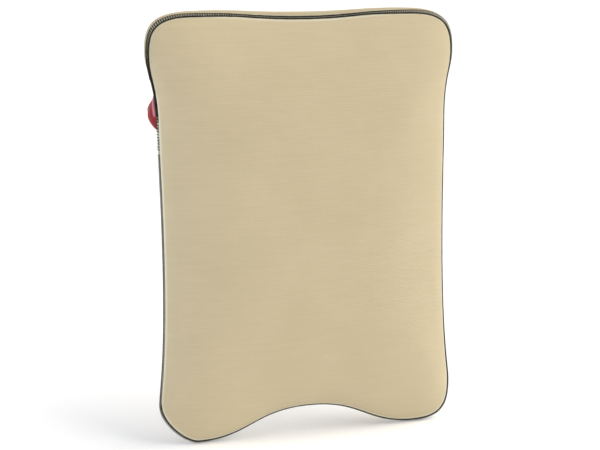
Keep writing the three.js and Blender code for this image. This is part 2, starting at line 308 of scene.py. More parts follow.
def half_outline(corner_x, corner_z):
    """One side of the outline, from the top's middle to the arch's middle."""
    ear, ear_side = (EAR["x"], EAR["top"]), (EAR["side"], EAR["side_z"])
    lobe, lobe_side = (LOBE["x"], 0), (LOBE["side"], LOBE["side_z"])
    return np.vstack(
        [
            stretch((0, TOP_MIDDLE), (50, 0), ear, (-50, 0)),
            stretch(ear, (37, 0), ear_side, (0, 28)),
            stretch(ear_side, (0, -20), SHOULDER, (0, 40)),
            stretch(SHOULDER, (0, -35), WAIST, (0, 35)),
            stretch(WAIST, (0, -140), lobe_side, (0, 17)),
            stretch(lobe_side, (0, -corner_z), lobe, (corner_x, 0)),
            stretch(lobe, (-55, 0), (0, ARCH_HEIGHT), (60, 0)),
        ]
    )


def evenly(points, count):
    """A closed line through the points, sampled again at even steps."""
    closed = np.vstack([points, points[:1]])
    run = np.concatenate([[0], np.cumsum(np.linalg.norm(np.diff(closed, axis=0), axis=1))])
    at = np.linspace(0, run[-1], count, endpoint=False)
    return np.stack([np.interp(at, run, closed[:, k]) for k in range(closed.shape[1])], 1)


def full_outline():
    right, left = half_outline(31, 29), half_outline(13, 19)
    left = left[1:][::-1] * [-1, 1]
    return np.vstack([right, [[0, ARCH_HEIGHT]], left])


def outward(points):
    """The outline's normals, pointing out."""
    along = np.roll(points, -1, 0) - np.roll(points, 1, 0)
    along /= np.linalg.norm(along, axis=1)[:, None]
    return np.stack([-along[:, 1], along[:, 0]], 1)


OUTLINE = evenly(full_outline(), AROUND)


# ---- Panels ----
def dome_height(share, panel):
    u = np.maximum(0, (share - panel["flat"]) / (1 - panel["flat"])) * panel["cut"]
    edge = (1 - panel["cut"] ** panel["power"]) ** (1 / panel["power"])
    return ((1 - u ** panel["power"]) ** (1 / panel["power"]) - edge) / (1 - edge)


def share_at_height(height, panel):
    edge = (1 - panel["cut"] ** panel["power"]) ** (1 / panel["power"])
    rise = height * (1 - edge) + edge
    u = (1 - rise ** panel["power"]) ** (1 / panel["power"]) / panel["cut"]
    return panel["flat"] + u * (1 - panel["flat"])


def smooth(value, low, high):
    t = np.clip((value - low) / (high - low), 0, 1)
    return t * t * (3 - 2 * t)


def bump(at):
    at = np.maximum(0, at)
    return at * np.exp(1 - at)


def swell(edges, panel, rise):
    """How far a panel is pushed out at a height above the seam, or held in."""
    ear = smooth(edges[:, 1], SWELL["ear_low"], EAR["side_z"])
    top = smooth(edges[:, 1], EAR["side_z"], TOP_MIDDLE)
    low = 1 - smooth(edges[:, 1], LOBE_REACH["low"], LOBE_REACH["high"])
    lobe = smooth(np.abs(edges[:, 0]), LOBE_REACH["x"], LOBE["side"]) * low
    if panel["side"] < 0:
        return -HOLD["depth"] * (ear + lobe) * bump(rise / HOLD["rise"])
    most = SWELL["ear"] * ear + SWELL["top"] * top + SWELL["lobe"] * lobe
    return most * bump((rise - SWELL["start"]) / SWELL["rise"]) ** 2


def panel_points(edges, share, panel, depth, lift):
    """Points of a panel in millimetres: share is 1 at its edge and 0 at its middle."""
    away = edges - [0, CENTRE_Z]
    angle = np.arctan2(away[:, 1], away[:, 0])
    core = 1 / np.hypot(np.cos(angle) / CORE[0], np.sin(angle) / CORE[1])
    length = np.linalg.norm(away, axis=1)
    ratio = core / length
    rise = (depth - lift) * dome_height(share, panel)
    reach = share * (ratio + (1 - ratio) * share**2) + swell(edges, panel, rise) / length
    return np.stack(
        [
            away[:, 0] * reach,
            SEAM_Y + panel["side"] * (lift + rise),
            BASE + CENTRE_Z + away[:, 1] * reach,
        ],
        1,
    )


def gape(edges):
    """How far the back panel's lip stands off the seam along the slit."""
    along = np.abs(edges[:, 1] - SLIT["z"]) / SLIT["half"]
    open_ = SLIT["gape"] * np.maximum(0, 1 - np.minimum(along, 1) ** 2.5) ** 1.5
    return np.where((edges[:, 0] < 0) & (along < 1), open_, 0)


def edge_share(edges, panel, depth, lift):
    """The share at which a panel starts, which is under 1 where the slit's lip is drawn back."""
    drawn = gape(edges) if panel["side"] > 0 else np.zeros(len(edges))
    height = np.clip((drawn - lift) / (depth - lift), 0, 1)
    return np.where(drawn > lift, share_at_height(height, panel), 1.0)


def dome_rings(edges, panel, depth, lift):
    """A domed surface as rings of points from its edge towards its middle, and the middle."""
    start = edge_share(edges, panel, depth, lift)
    flat = panel["flat"]
    rings = []
    for j in range(DOME_RINGS + 1):
        towards = math.cos((j / DOME_RINGS) ** 1.4 * math.pi / 2) ** (2 / panel["power"])
        rings.append(panel_points(edges, flat + (start - flat) * towards, panel, depth, lift))
    for j in range(1, FLAT_RINGS):
        share = np.full(len(edges), flat * (1 - j / FLAT_RINGS))
        rings.append(panel_points(edges, share, panel, depth, lift))
    middle = np.array([[0, SEAM_Y + panel["side"] * depth, BASE + CENTRE_Z]])
    return rings, middle


def flat_cloth(rings, middle):
    """Where each point lies on the cloth before it is stretched over the dome, in metres."""
    runs = [np.zeros(len(rings[0]))]
    steps = [*rings, np.repeat(middle, len(rings[0]), 0)]
    for before, after in zip(steps[::-1][:-1], steps[::-1][1:]):
        runs.append(runs[-1] + np.linalg.norm(after - before, axis=1))
    runs = runs[::-1]
    spots = []
    for ring, run in zip(rings, runs):
        away = ring[:, [0, 2]] - [0, BASE + CENTRE_Z]
        spots.append(away / np.linalg.norm(away, axis=1)[:, None] * run[:, None])
    return np.vstack([*spots, [[0, 0]]]) * MM


def ring_quads(first, second, around):
    """Quads between two rings of points, each given by the number of its first point."""
    i = np.arange(around)
    k = (i + 1) % around
    return np.stack([first + i, first + k, second + k, second + i], 1).tolist()


def fan(first, middle, around):
    """Triangles between a ring of points and a single one."""
    i = np.arange(around)
    return np.stack([first + i, first + (i + 1) % around, np.full(around, middle)], 1).tolist()


def turned_over(faces):
    return [face[::-1] for face in faces]


def ring_faces(start, rings, around, turned):
    """Quads between rings of points, and a fan at the middle."""
    faces = []
    for j in range(rings - 1):
        a = start + j * around
        faces += ring_quads(a, a + around, around)
    faces += fan(start + (rings - 1) * around, start + rings * around, around)
    return turned_over(faces) if turned else faces


def ring_faces_out(rings, around):
    """Quads between rings that widen from a middle, which is the last point, seen from above."""
    faces = fan(0, rings * around, around)
    for j in range(rings - 1):
        faces += turned_over(ring_quads(j * around, (j + 1) * around, around))
    return faces


def mesh_object(name, points, faces, *materials):
    """A smooth mesh object from points in millimetres."""
    mesh = bpy.data.meshes.new(name)
    mesh.from_pydata((np.asarray(points) * MM).tolist(), [], faces)
    for material in materials:
        mesh.materials.append(material)
    mesh.polygons.foreach_set("use_smooth", [True] * len(mesh.polygons))
    mesh.update()
    obj = bpy.data.objects.new(name, mesh)
    bpy.context.scene.collection.objects.link(obj)
    return obj


def baked(obj):
    """A plain mesh of what an object's modifiers make."""
    bpy.context.view_layer.update()
    graph = bpy.context.evaluated_depsgraph_get()
    return bpy.data.meshes.new_from_object(obj.evaluated_get(graph))


def cover_panel(name, panel, sizes, colours):
    """One panel of the cover: a closed shell of neoprene with a knit face and cut edges."""
    rim = sizes.neoprene / MM
    lift = PLAY / 2
    lining = OUTLINE - outward(OUTLINE) * RIM_INSET
    outer, outer_middle = dome_rings(OUTLINE, panel, panel["depth"], lift)
    inner, inner_middle = dome_rings(lining, panel, panel["depth"] - rim, lift)
    points = np.vstack([*outer, outer_middle, *inner, inner_middle])
    inner_start = len(outer) * AROUND + 1
    front = panel["side"] < 0
    faces = ring_faces(0, len(outer), AROUND, not front)
    skin = len(faces)
    faces += ring_faces(inner_start, len(inner), AROUND, front)
    edge = ring_quads(0, inner_start, AROUND)
    faces += turned_over(edge) if front else edge
    knit = material_named("jersey_bonded_neoprene", lambda: knit_neoprene(sizes, colours))
    foam = material_named("cut_neoprene_foam", lambda: neoprene_foam(colours))
    obj = mesh_object(name, points, faces, knit, foam)
    mesh = obj.data
    slots = np.zeros(len(faces), int)
    slots[skin:] = 1
    mesh.polygons.foreach_set("material_index", slots)
    cloth = np.vstack([flat_cloth(outer, outer_middle), flat_cloth(inner, inner_middle)])
    corners = np.zeros(len(mesh.loops), int)
    mesh.loops.foreach_get("vertex_index", corners)
    mesh.uv_layers.new(name="cloth").data.foreach_set("uv", cloth[corners].ravel())
    runs = [np.linalg.norm(ring - outer[0], axis=1) for ring in outer]
    distance = np.concatenate([*runs, [100], np.full(len(points) - inner_start, 100)]) * MM
    mesh.attributes.new("edge", "FLOAT", "POINT").data.foreach_set("value", distance)
    return obj


def bladder_sheet(name, panel, neoprene, vinyl):
    """One vinyl sheet of the bladder: a flat welded edge, then a dome that fills the cover."""
    every, out = OUTLINE[::2], outward(OUTLINE)[::2]
    weld = every - out * WELD["inset"]
    edges = every - out * (WELD["inset"] + WELD["width"])
    around = len(every)
    sheet = {**panel, "cut": WELD["cut"]}
    flat = panel["flat"]
    shares = [flat + (1 - flat) * math.cos(j / 30 * math.pi / 2) for j in range(31)]
    shares += [flat * (1 - j / 6) for j in range(1, 6)]

    def surface(depth, lift):
        side = np.full(around, SEAM_Y + panel["side"] * lift)
        rings = [np.column_stack([weld[:, 0], side, BASE + weld[:, 1]])]
        rings += [panel_points(edges, np.full(around, s), sheet, depth, lift) for s in shares]
        return [*rings, [[0, SEAM_Y + panel["side"] * depth, BASE + CENTRE_Z]]]

    depth, lift = panel["depth"] - neoprene - PLAY * 2, PLAY / 2
    outer, inner = surface(depth, lift + VINYL), surface(depth - VINYL, lift)
    first = (len(outer) - 1) * around + 1
    front = panel["side"] < 0
    faces = ring_faces(0, len(outer) - 1, around, not front)
    faces += ring_faces(first, len(inner) - 1, around, front)
    faces += turned_over(ring_quads(0, first, around))
    obj = mesh_object(name, np.vstack([*outer, *inner]), faces, vinyl)
    face_outwards(obj)
    cutter = neck_hole()
    hole = obj.modifiers.new("neck_hole", "BOOLEAN")
    hole.operation, hole.solver, hole.object = "DIFFERENCE", "EXACT", cutter
    obj.data = baked(obj)
    obj.modifiers.clear()
    bpy.data.objects.remove(cutter)
    return obj


# ---- Seam ----
def between(values, place):
    """The value at a fractional index of the outline."""
    i = int(math.floor(place)) % AROUND
    t = place - math.floor(place)
    return values[i] * (1 - t) + values[(i + 1) % AROUND] * t


class Lip:
    """Points beside a panel's edge: a share of the outline, and a distance in from the edge."""

    def __init__(self, panel):
        lift = PLAY / 2
        start = edge_share(OUTLINE, panel, panel["depth"], lift)
        self.edge = panel_points(OUTLINE, start, panel, panel["depth"], lift)
        further = panel_points(OUTLINE, start - panel["lie"], panel, panel["depth"], lift)
        self.along = further - self.edge
        self.along /= np.linalg.norm(self.along, axis=1)[:, None]
        out = outward(OUTLINE)
        out = np.stack([out[:, 0], np.zeros(len(out)), out[:, 1]], 1)
        normal = out - self.along * np.sum(out * self.along, 1)[:, None]
        self.normal = normal / np.linalg.norm(normal, axis=1)[:, None]
        self.out = out

    def at(self, place, inwards, height):
        """The point at a fractional outline index, so far in from the edge and off the cloth."""
        sides = between(self.along, place) * inwards + between(self.normal, place) * height
        return between(self.edge, place) + sides

    def fold(self, place, height):
        """The point on the seam's fold, so far off it."""
        edge = between(OUTLINE, place)
        return np.array([edge[0], SEAM_Y, BASE + edge[1]]) + between(self.out, place) * height


def perimeter():
    return float(np.linalg.norm(np.roll(OUTLINE, -1, 0) - OUTLINE, axis=1).sum())


def in_slit(place):
    i = int(math.floor(place)) % AROUND
    return gape(OUTLINE[i : i + 1])[0] > 0.8


def geometry_tree(name, lengths):
    """A geometry tree with a geometry, some lengths and a seed for inputs, and its inputs' sockets."""
    tree = bpy.data.node_groups.new(name, "GeometryNodeTree")
    face = tree.interface
    face.new_socket("Geometry", in_out="INPUT", socket_type="NodeSocketGeometry")
    for label in lengths:
        face.new_socket(label, in_out="INPUT", socket_type="NodeSocketFloat")
    face.new_socket("Seed", in_out="INPUT", socket_type="NodeSocketInt")
    face.new_socket("Geometry", in_out="OUTPUT", socket_type="NodeSocketGeometry")
    return tree, add_node(tree, "NodeGroupInput").outputs


def thread_tree(name, thread):
    """Turns guide lines into lengths of round thread, each a little uneven."""
    tree, given = geometry_tree(name, ("Thread Diameter", "Wobble"))
    curve = add_node(tree, "GeometryNodeMeshToCurve", {}, {"Mesh": given["Geometry"]})
    low = maths(tree, "MULTIPLY", given["Wobble"], -1.0)
    shake = add_node(
        tree,
        "FunctionNodeRandomValue",
        {"data_type": "FLOAT_VECTOR"},
        {"Min": low, "Max": given["Wobble"], "Seed": given["Seed"]},
    )
    inputs = {"Geometry": curve.outputs["Curve"], "Offset": shake.outputs["Value"]}
    moved = add_node(tree, "GeometryNodeSetPosition", {}, inputs)
    radius = maths(tree, "MULTIPLY", given["Thread Diameter"], 0.5)
    circle = add_node(tree, "GeometryNodeCurvePrimitiveCircle", {}, {"Resolution": 6, "Radius": radius})
    inputs = {
        "Curve": moved.outputs["Geometry"],
        "Profile Curve": circle.outputs["Curve"],
        "Fill Caps": True,
    }
    tube = add_node(tree, "GeometryNodeCurveToMesh", {}, inputs)
    return close_tree(tree, tube.outputs["Mesh"], thread)


def stitch_row_tree(name, thread):
    """Sets one bead-like stitch after another along a guide line."""
    tree, given = geometry_tree(name, ("Pitch", "Stitch Length", "Thread Diameter"))
    curve = add_node(tree, "GeometryNodeMeshToCurve", {}, {"Mesh": given["Geometry"]})
    inputs = {"Curve": curve.outputs["Curve"], "Length": given["Pitch"]}
    points = add_node(tree, "GeometryNodeCurveToPoints", {"mode": "LENGTH"}, inputs)
    bead = add_node(tree, "GeometryNodeMeshUVSphere", {}, {"Segments": 8, "Rings": 6, "Radius": 0.5})
    thick = given["Thread Diameter"]
    size = add_node(
        tree, "ShaderNodeCombineXYZ", {}, {"X": thick, "Y": thick, "Z": given["Stitch Length"]}
    )
    uneven = add_node(
        tree,
        "FunctionNodeRandomValue",
        {"data_type": "FLOAT"},
        {2: 0.88, 3: 1.12, "Seed": given["Seed"]},
    )
    scale = add_node(
        tree,
        "ShaderNodeVectorMath",
        {"operation": "SCALE"},
        {0: size.outputs[0], "Scale": uneven.outputs[1]},
    )
    inputs = {
        "Points": points.outputs["Points"],
        "Instance": bead.outputs["Mesh"],
        "Rotation": points.outputs["Rotation"],
        "Scale": scale.outputs[0],
    }
    placed = add_node(tree, "GeometryNodeInstanceOnPoints", {}, inputs)
    return close_tree(tree, placed.outputs["Instances"], thread)


def close_tree(tree, shape, material):
    """Ends a geometry tree: real geometry, smooth faces and the material."""
    real = add_node(tree, "GeometryNodeRealizeInstances", {}, {"Geometry": shape})
    inputs = {"Geometry": real.outputs["Geometry"]}
    smooth_faces = add_node(tree, "GeometryNodeSetShadeSmooth", {}, inputs)
    inputs = {"Geometry": smooth_faces.outputs["Geometry"], "Material": material}
    painted = add_node(tree, "GeometryNodeSetMaterial", {}, inputs)
    add_node(tree, "NodeGroupOutput", {}, {"Geometry": painted.outputs["Geometry"]})
    return tree


def grown(name, lines, tree, material, **values):
    """Runs a geometry tree on guide lines, given in millimetres, and keeps the plain mesh."""
    points, edges = [], []
    for line in lines:
        first = len(points)
        points += [tuple(np.asarray(p) * MM) for p in line]
        edges += [(first + n, first + n + 1) for n in range(len(line) - 1)]
    guide = bpy.data.meshes.new(name + "_guide")
    guide.from_pydata(points, edges, [])
    obj = bpy.data.objects.new(name, guide)
    bpy.context.scene.collection.objects.link(obj)
    modifier = obj.modifiers.new("stitches", "NODES")
    modifier.node_group = tree
    sockets = {i.name: i.identifier for i in tree.interface.items_tree if i.in_out == "INPUT"}
    for label, value in values.items():
        modifier[sockets[label.replace("_", " ")]] = value
    mesh = baked(obj)
    obj.modifiers.remove(modifier)
    obj.data = mesh
    mesh.name = name
    if not mesh.materials:
        mesh.materials.append(material)
    bpy.data.meshes.remove(guide)
    return obj


def settle(obj, node, body=BODY):
    """Ties a finished piece to its body, and hides the node it stands for."""
    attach(obj, body)
    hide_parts(node)


# ---- Valve neck's own frame ----
def neck_to_part(points):
    """Points given as (out, across, up) of the valve's axis, in the part's millimetres."""
    points = np.asarray(points, float)
    c, s = math.cos(NECK["turn"]), math.sin(NECK["turn"])
    out, across, up = points[..., 0], points[..., 1], points[..., 2]
    return np.stack(
        [
            NECK["x"] + out * c - across * s,
            NECK["y"] + SEAM_Y + out * s + across * c,
            SLIT["z"] + BASE + up,
        ],
        -1,
    )


def pinch(up):
    """The neck narrows towards the slit's ends, sooner above the valve than below it."""
    above = 0.24 * smooth(up, 2, 15) - 0.1 * smooth(up, 14, 19)
    return 1 - above - 0.12 * smooth(-up, 5, 19)


def welt(out, across, up):
    """The lapped weld of the neck's wall: a raised tongue on its front flank."""
    beside = np.exp(-(((out - 4.7 - 0.1 * up) / 1.3) ** 2)) * (across > 0)
    return beside * smooth(up, -5, -2.5) * (1 - smooth(up, 15, 19))


def bulge_ring(near, far, share, radii, back=False):
    """A ring of the neck's bulge, between the pocket's rim and the widest section."""
    at = near * (1 - share) + far * share
    across, up = at[:, 0] * radii[1], at[:, 1] * radii[2]
    size = np.minimum(1, np.hypot(at[:, 0], at[:, 1]))
    if back:
        out = -radii[0] * np.sqrt(1 - size**2)
    else:
        width = np.sqrt(1 - np.minimum(0.9999, np.abs(at[:, 1])) ** 2)
        fullness = np.where(across > 0, FULL_FLANK, 2)
        slope = np.minimum(1, np.abs(at[:, 0]) / width) ** fullness
        out = radii[0] * width * (1 - slope) ** (1 / fullness) * pinch(up)
    return np.stack([out, across, up], 1)


def neck_surface(radii, pocket, floor, hole, low):
    """Rings from the valve's hole over the pocket's floor and rim, and round to the open back."""
    turn = np.linspace(0, 2 * math.pi, NECK_AROUND, endpoint=False)
    circle = np.stack([np.cos(turn), np.sin(turn)], 1)
    near = circle * [pocket / radii[1], pocket / radii[2]]

    def flat_ring(radius, out):
        return np.column_stack([np.full(NECK_AROUND, out), circle * radius])

    rim = bulge_ring(near, circle, 0.0, radii)
    rings = [flat_ring(hole, low), flat_ring(hole, floor - 0.15), flat_ring(hole + 0.15, floor)]
    rings += [flat_ring(pocket - 0.5, floor)]
    corner = flat_ring(pocket, floor + 0.3)
    rings += [corner * (1 - t) + np.maximum(rim, corner) * t for t in (0, 0.5, 0.85)]
    rings += [bulge_ring(near, circle, math.sin(t), radii) for t in np.linspace(0.04, math.pi / 2, 30)]
    rings += [
        bulge_ring(near * 0, circle, math.cos(t), radii, back=True)
        for t in np.linspace(0.08, math.acos(0.8), 8)
    ]
    return rings


def neck_hole():
    """The space that the neck takes up in the bladder's sheets, as a closed shape."""
    radii = tuple(NECK[side] + PLAY for side in ("out", "across", "up"))
    turn = np.linspace(0, 2 * math.pi, NECK_AROUND, endpoint=False)
    circle = np.stack([np.cos(turn), np.sin(turn)], 1)
    rings = [bulge_ring(circle * 0, circle, math.cos(t), radii, back=True)
             for t in np.linspace(math.pi / 2 - 0.06, 0.1, 14)]
    rings += [bulge_ring(circle * 0, circle, math.sin(t), radii)
              for t in np.linspace(math.pi / 2, 0.06, 16)]
    points = np.vstack([*rings, [[radii[0], 0, 0], [-radii[0], 0, 0]]])
    faces = ring_faces(0, len(rings), NECK_AROUND, False)
    faces += turned_over(fan(0, len(points) - 1, NECK_AROUND))
    obj = mesh_object("neck_hole", neck_to_part(points), faces)
    face_outwards(obj)
    return obj


def neck_shell(vinyl):
    """The neck's closed vinyl wall, open at the back where the air comes in."""
    wide = (NECK["out"], NECK["across"], NECK["up"])
    rings = neck_surface(wide, POCKET["radius"], POCKET["floor"], FLANGE["bore"], POCKET["floor"] - 0.5)
    outside = np.vstack(rings)
    lap = welt(*outside.T)
    outside[:, 1] += 0.9 * lap
    outside[:, 0] += 0.5 * lap
    thin = tuple(size - VINYL for size in wide)
    inner = neck_surface(
        thin, POCKET["radius"] + VINYL, POCKET["floor"] - VINYL, FLANGE["bore"], POCKET["floor"] - 0.6
    )[1:]
    points = np.vstack([outside, *inner[::-1]])
    count = len(rings) + len(inner)
    faces = []
    for j in range(count):
        faces += ring_quads(j * NECK_AROUND, (j + 1) % count * NECK_AROUND, NECK_AROUND)
    obj = mesh_object("valve_neck_bulge", neck_to_part(points), faces, vinyl)
    face_outwards(obj)
    # Painted highlight: the raised welt is marked so that the vinyl over it is painted pale pink.
    welt_highlight = np.zeros(len(points))
    welt_highlight[: len(lap)] = 0.9 * lap
    obj.data.attributes.new("fold", "FLOAT", "POINT").data.foreach_set("value", welt_highlight)
    return obj


def face_outwards(obj):
    """Turns a closed mesh's faces to point out."""
    shape = bmesh.new()
    shape.from_mesh(obj.data)
    bmesh.ops.recalc_face_normals(shape, faces=shape.faces)
    if shape.calc_volume(signed=True) < 0:
        bmesh.ops.reverse_faces(shape, faces=shape.faces)
    shape.to_mesh(obj.data)
    shape.free()


def rounded(corners, radius, steps=4):
    """A closed profile's corners, each cut by a small arc."""
    corners = [np.array(c, float) for c in corners]
    profile = []
    for n, corner in enumerate(corners):
        before, after = corners[n - 1], corners[(n + 1) % len(corners)]
        if corner[0] == 0:
            profile.append(corner)
            continue
        run = [min(radius, np.linalg.norm(end - corner) * 0.45) for end in (before, after)]
        a = corner + (before - corner) / np.linalg.norm(before - corner) * run[0]
        c = corner + (after - corner) / np.linalg.norm(after - corner) * run[1]
        for t in np.linspace(0, 1, steps):
            profile.append((1 - t) ** 2 * a + 2 * (1 - t) * t * corner + t**2 * c)
    return profile


def tube_profile(tube):
    """Corners as (radius, distance out) of a tube with softened edges."""
    inner, outer, low, high = tube["bore"], tube["radius"], tube["low"], tube["high"]
    return rounded([(inner, low), (outer, low), (outer, high), (inner, high)], 0.25), True


def plug_profile():
    """A tapered pin under a dished cap with a rounded rim."""
    seat = STEM["high"] + PLAY
    radius, head, top = PLUG["radius"], PLUG["head"], PLUG["top"]
    corners = [(0, PLUG["tip"]), (radius * 0.8, PLUG["tip"]), (radius, PLUG["tip"] + 1)]
    corners += [(radius, seat), (head, seat), (head, top), (head - 1.2, top), (head - 1.9, top - 0.35)]
    return rounded([*corners, (0, top - 0.35)], 0.3), False


def flap_profile():
    high = STEM["low"] - PLAY
    low = high - FLAP["thickness"]
    return rounded([(0, low), (FLAP["radius"], low), (FLAP["radius"], high), (0, high)], 0.2), False


def turned(name, shape, vinyl):
    """A turned part about the valve's axis, from its profile and whether that closes on itself."""
    profile, looped = shape
    turn = np.linspace(0, 2 * math.pi, LATHE_STEPS, endpoint=False)
    poles = [p for p in profile if p[0] == 0]
    open_ = [p for p in profile if p[0] > 0]
    points = [
        np.column_stack([np.full(LATHE_STEPS, out), radius * np.cos(turn), radius * np.sin(turn)])
        for radius, out in open_
    ]
    points = np.vstack(points + [[[pole[1], 0, 0]] for pole in poles])
    faces = []
    for j in range(len(open_) if looped else len(open_) - 1):
        faces += ring_quads(j * LATHE_STEPS, (j + 1) % len(open_) * LATHE_STEPS, LATHE_STEPS)
    if poles:
        last = len(open_) * LATHE_STEPS
        faces += turned_over(fan(0, last, LATHE_STEPS))
        faces += fan(last - LATHE_STEPS, last + 1, LATHE_STEPS)
    obj = mesh_object(name, neck_to_part(points), faces, vinyl)
    face_outwards(obj)
    return obj


def strap_band(vinyl):
    """The strap that keeps the plug, bent from its cap round to the neck's flank."""
    corners = np.array(STRAP_PATH, float)
    run = np.linspace(0, len(corners) - 1, 49)
    path = np.stack([np.interp(run, range(len(corners)), corners[:, n]) for n in range(3)], 1)
    for _ in range(40):
        path[1:-1] = (path[:-2] + 2 * path[1:-1] + path[2:]) / 4
    along = np.gradient(path, axis=0)
    along /= np.linalg.norm(along, axis=1)[:, None]
    over = np.stack([along[:, 1], -along[:, 0], np.zeros(len(path))], 1)
    wide, thick = STRAP["half_width"], STRAP["half_thickness"]
    section = rounded([(-wide, -thick), (wide, -thick), (wide, thick), (-wide, thick)], 0.4, 5)
    count = len(section)
    points = np.vstack([[p + over[n] * t + [0, 0, w] for w, t in section] for n, p in enumerate(path)])
    faces = [list(range(count))[::-1], [(len(path) - 1) * count + n for n in range(count)]]
    for j in range(len(path) - 1):
        faces += ring_quads(j * count, (j + 1) * count, count)
    obj = mesh_object("plug_strap_band", neck_to_part(points), faces, vinyl)
    face_outwards(obj)
    return obj


def row_width(place, sizes):
    """A needle row's distance in from the edge: the looped thread lies wider round the ears."""
    across, up = OUTLINE[int(place) % AROUND]
    ear = smooth(up, SLIT["z"], EAR["side_z"]) * smooth(abs(across), 60, EAR["x"])
    return (sizes.seam_width + sizes.ear_width * ear) / MM


def length_property(name, description, default):
    return FloatProperty(name=name, description=description, default=default, unit="LENGTH")


class CushionSizes(bpy.types.PropertyGroup):
    """Sizes of the sewing and the cloth."""

    neoprene: length_property("Neoprene", "Thickness of a panel", 0.003)
    stitch_pitch: length_property("Stitch Pitch", "From one stitch to the next", 0.00245)
    thread: length_property("Thread", "Width of the looped thread", 0.00125)
    seam_width: length_property("Seam Width", "From the edge to a needle row", 0.0024)
    ear_width: length_property("Ear Width", "Added to that at the ears", 0.0014)
    course_pitch: length_property("Course Pitch", "Between knit courses", 0.00205)
    wale_pitch: length_property("Wale Pitch", "Between knit wales", 0.0018)
    band_pitch: length_property("Band Pitch", "Height of an uneven band", 0.0041)
    cloth_grid: length_property("Cloth Grid", "Grid of the simulated cloth", 0.0055)
    cloth_cap: length_property("Cloth Cap", "The furthest that cloth may move", 0.0025)
    pressure: FloatProperty(name="Pressure", description="Air in the cushion", default=4.0)
    seed: IntProperty(name="Seed", description="Sets the unevenness of the stitches", default=7)


def colour_property(name, description, code):
    return FloatVectorProperty(
        name=name,
        description=description,
        default=linear(code),
        subtype="COLOR",
        size=4,
        min=0,
        max=1,
    )


class CushionColours(bpy.types.PropertyGroup):
    """Colours of the cloth, thread, vinyl and stage."""

    knit: colour_property("Knit", "The knit face", "C6B89A")
    knit_shade: colour_property("Knit Shade", "The darker courses", "B7AA8B")
    # Painted highlight: a paler knit colour for the rim beside the seam, where the puffed edge catches
    # light.
    knit_rim_highlight: colour_property("Knit Edge", "The knit drawn open beside the seam's thread", "DAD4BD")
    foam: colour_property("Foam", "Cut edges of the neoprene", "C9C3AE")
    thread: colour_property("Thread", "The seam's thread", "0B0D0A")
    thread_fleck: colour_property("Thread Fleck", "Hairs on the thread", "20231D")
    vinyl: colour_property("Vinyl", "The vinyl seen face on", "8C0B10")
    # Painted highlight: the pale pink painted where the vinyl is seen along its surface and on the welt.
    vinyl_rim_highlight: colour_property("Vinyl Haze", "The vinyl seen along its surface", "DD8E9C")
    floor: colour_property("Floor", "The stage", "F7F7F7")


def thread_material(context):
    return material_named("spun_polyester_thread", lambda: spun_thread(context.scene.cushion_colours))


def vinyl_material(context):
    return material_named("soft_pvc_vinyl", lambda: soft_vinyl(context.scene.cushion_colours))


def slack_cover(share_of_depth):
    """A closed copy of both panels, a little slack, with the slit shut."""
    edges = OUTLINE[::4]
    shares = [math.cos(j / 16 * math.pi / 2) for j in range(16)]

    def side(panel):
        depth = panel["depth"] * share_of_depth
        return [panel_points(edges, np.full(len(edges), s), panel, depth, 0) for s in shares]

    rings = side(FRONT)[::-1] + side(BACK)[1:]
    middles = [
        [0, SEAM_Y + panel["side"] * panel["depth"] * share_of_depth, BASE + CENTRE_Z]
        for panel in (BACK, FRONT)
    ]
    around = len(edges)
    faces = ring_faces(0, len(rings), around, True)
    faces += fan(0, len(rings) * around + 1, around)
    return mesh_object("slack_cover", np.vstack([*rings, middles]), faces)


def blown_up(sizes):
    """Blows the slack cover up as cloth, held at its seam, and gives its shape as a search tree."""
    scene = bpy.context.scene
    cover = slack_cover(0.9)
    remesh = cover.modifiers.new("even_cloth", "REMESH")
    remesh.mode = "VOXEL"
    remesh.voxel_size = sizes.cloth_grid
    mesh = baked(cover)
    cover.modifiers.clear()
    cover.data = mesh
    held = cover.vertex_groups.new(name="seam")
    near = [v.index for v in mesh.vertices if abs(v.co.y - SEAM_Y * MM) < 0.004]
    held.add(near, 1.0, "REPLACE")
    cloth = cover.modifiers.new("cloth", "CLOTH")
    cloth.settings.effector_weights.gravity = 0
    for setting, value in (
        ("quality", 5),
        ("mass", 0.3),
        ("tension_stiffness", 12),
        ("compression_stiffness", 12),
        ("shear_stiffness", 5),
        ("bending_stiffness", 1.5),
        ("use_pressure", True),
        ("uniform_pressure_force", sizes.pressure),
        ("vertex_group_mass", "seam"),
    ):
        setattr(cloth.settings, setting, value)
    cloth.point_cache.frame_start = 1
    cloth.point_cache.frame_end = CLOTH_FRAMES
    for frame_number in range(1, CLOTH_FRAMES + 1):
        scene.frame_set(frame_number)
    graph = bpy.context.evaluated_depsgraph_get()
    blown = bpy.data.meshes.new_from_object(cover.evaluated_get(graph))
    tree = BVHTree.FromPolygons(
        [v.co.copy() for v in blown.vertices], [tuple(f.vertices) for f in blown.polygons]
    )
    bpy.data.objects.remove(cover)
    scene.frame_set(1)
    return tree


